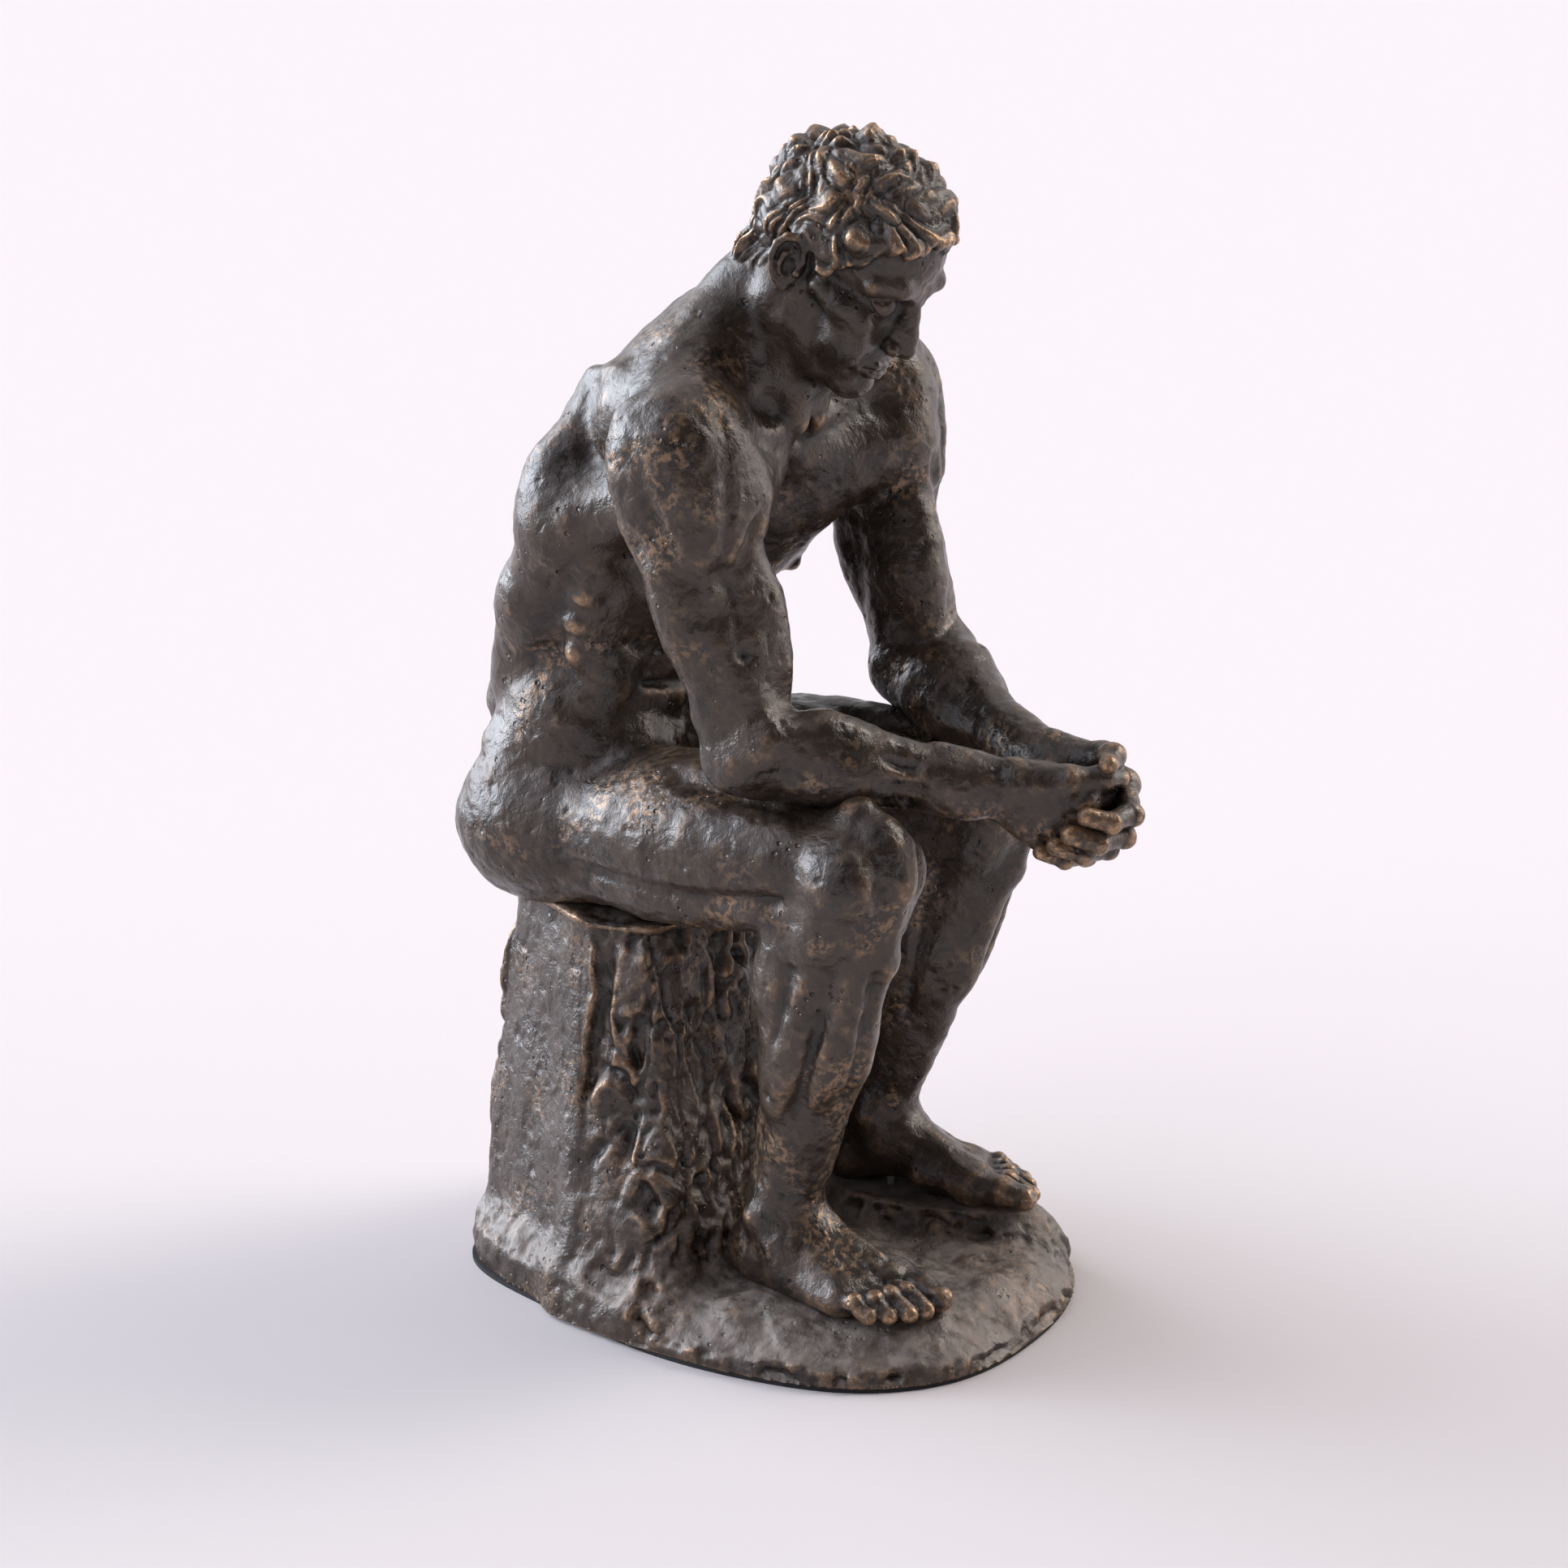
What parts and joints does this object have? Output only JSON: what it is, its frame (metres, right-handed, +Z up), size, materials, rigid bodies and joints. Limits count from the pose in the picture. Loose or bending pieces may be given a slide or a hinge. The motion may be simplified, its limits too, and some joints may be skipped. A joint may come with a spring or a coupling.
{
  "type": "seated figure statue",
  "caption": "Table-top bronze statue of a seated, pensive nude figure on a rough rock seat, forearms on the thighs and hands joined, with a felt-covered flat base.",
  "frame": {"origin": "centre of the footprint on the underside of the felt, where the statue rests", "axes": "+Z up, -Y the way the figure faces, +X the figure's left side"},
  "size_m": [0.1525, 0.2268, 0.3729],
  "materials": {
    "bronze": "dark brown patinated cast bronze, rubbed through to warm bronze on the high places, dusty grey-brown in the hollows",
    "dowel_bronze": "bare turned bronze",
    "steel": "zinc-plated",
    "board": "raw hardboard",
    "felt": "near-black pressed felt"
  },
  "bodies": {
    "root": {"rock_base": "bronze", "torso": "bronze", "head": "bronze", "right_arm": "bronze", "left_arm": "bronze", "clasped_hands": "bronze", "right_leg": "bronze", "left_leg": "bronze", "neck_dowels": "dowel_bronze", "shoulder_dowels": "dowel_bronze", "hip_dowels": "dowel_bronze", "wrist_dowels": "dowel_bronze", "seat_stud": "steel", "seat_washer": "steel", "seat_nut": "steel", "foot_studs": "steel", "foot_washers": "steel", "foot_nuts": "steel", "closing_board": "board", "board_screws": "steel", "felt_pad": "felt"}
  },
  "joints": []
}
